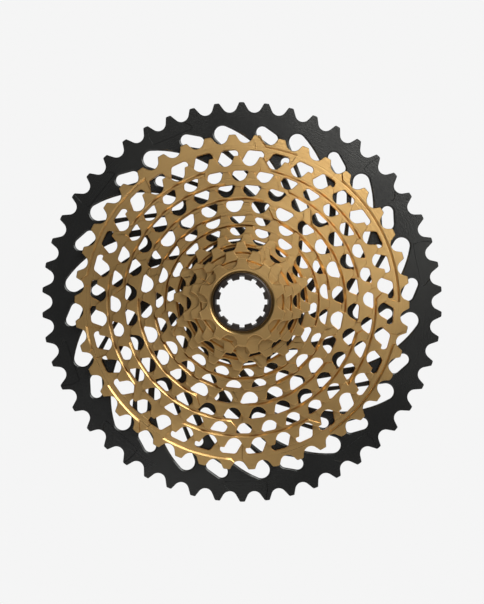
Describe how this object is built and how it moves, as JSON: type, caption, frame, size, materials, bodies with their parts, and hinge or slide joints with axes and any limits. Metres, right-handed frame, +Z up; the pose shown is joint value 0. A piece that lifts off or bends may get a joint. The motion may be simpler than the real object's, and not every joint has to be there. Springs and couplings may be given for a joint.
{
  "type": "bicycle cassette",
  "caption": "Wide-range bicycle cassette: a stepped gold dome of pierced steel cogs pinned to a large black aluminium cog, with a captive lock tube that spins in the small end.",
  "frame": {"origin": "centre of the hub bore at the hub shoulder, the rear face of the largest cog's hub", "axes": "+Y along the spin axis towards the wheel (the way the hub driver leaves), -Y towards the smallest cog, +Z up through a tooth of the largest cog"},
  "size_m": [0.2048, 0.042, 0.205],
  "materials": {
    "gold_steel": "satin gold hard coating on machined steel",
    "black_aluminium": "satin black anodised",
    "tube_aluminium": "black anodised, satin",
    "bush_polymer": "matt moulded",
    "plain_steel": "turned and ground steel",
    "spring_steel": "dark tempered spring steel"
  },
  "bodies": {
    "cassette": {"cog_50t": "black_aluminium", "cog_42t": "gold_steel", "cog_36t": "gold_steel", "cog_32t": "gold_steel", "cog_28t": "gold_steel", "cog_24t": "gold_steel", "cog_21t": "gold_steel", "cog_18t": "gold_steel", "cog_16t": "gold_steel", "cog_14t": "gold_steel", "cog_12t": "gold_steel", "cog_10t": "gold_steel", "rim_pins": "plain_steel", "tube_bush": "bush_polymer"},
    "lock_tube": {"lock_tube": "tube_aluminium", "thrust_washer": "plain_steel", "snap_ring": "spring_steel"}
  },
  "joints": [
    {"name": "lock_tube_spin", "type": "hinge", "parent": "cassette", "child": "lock_tube", "pos_m": [0, -0.03, 0], "axis": [0, 1, 0], "continuous": true}
  ]
}
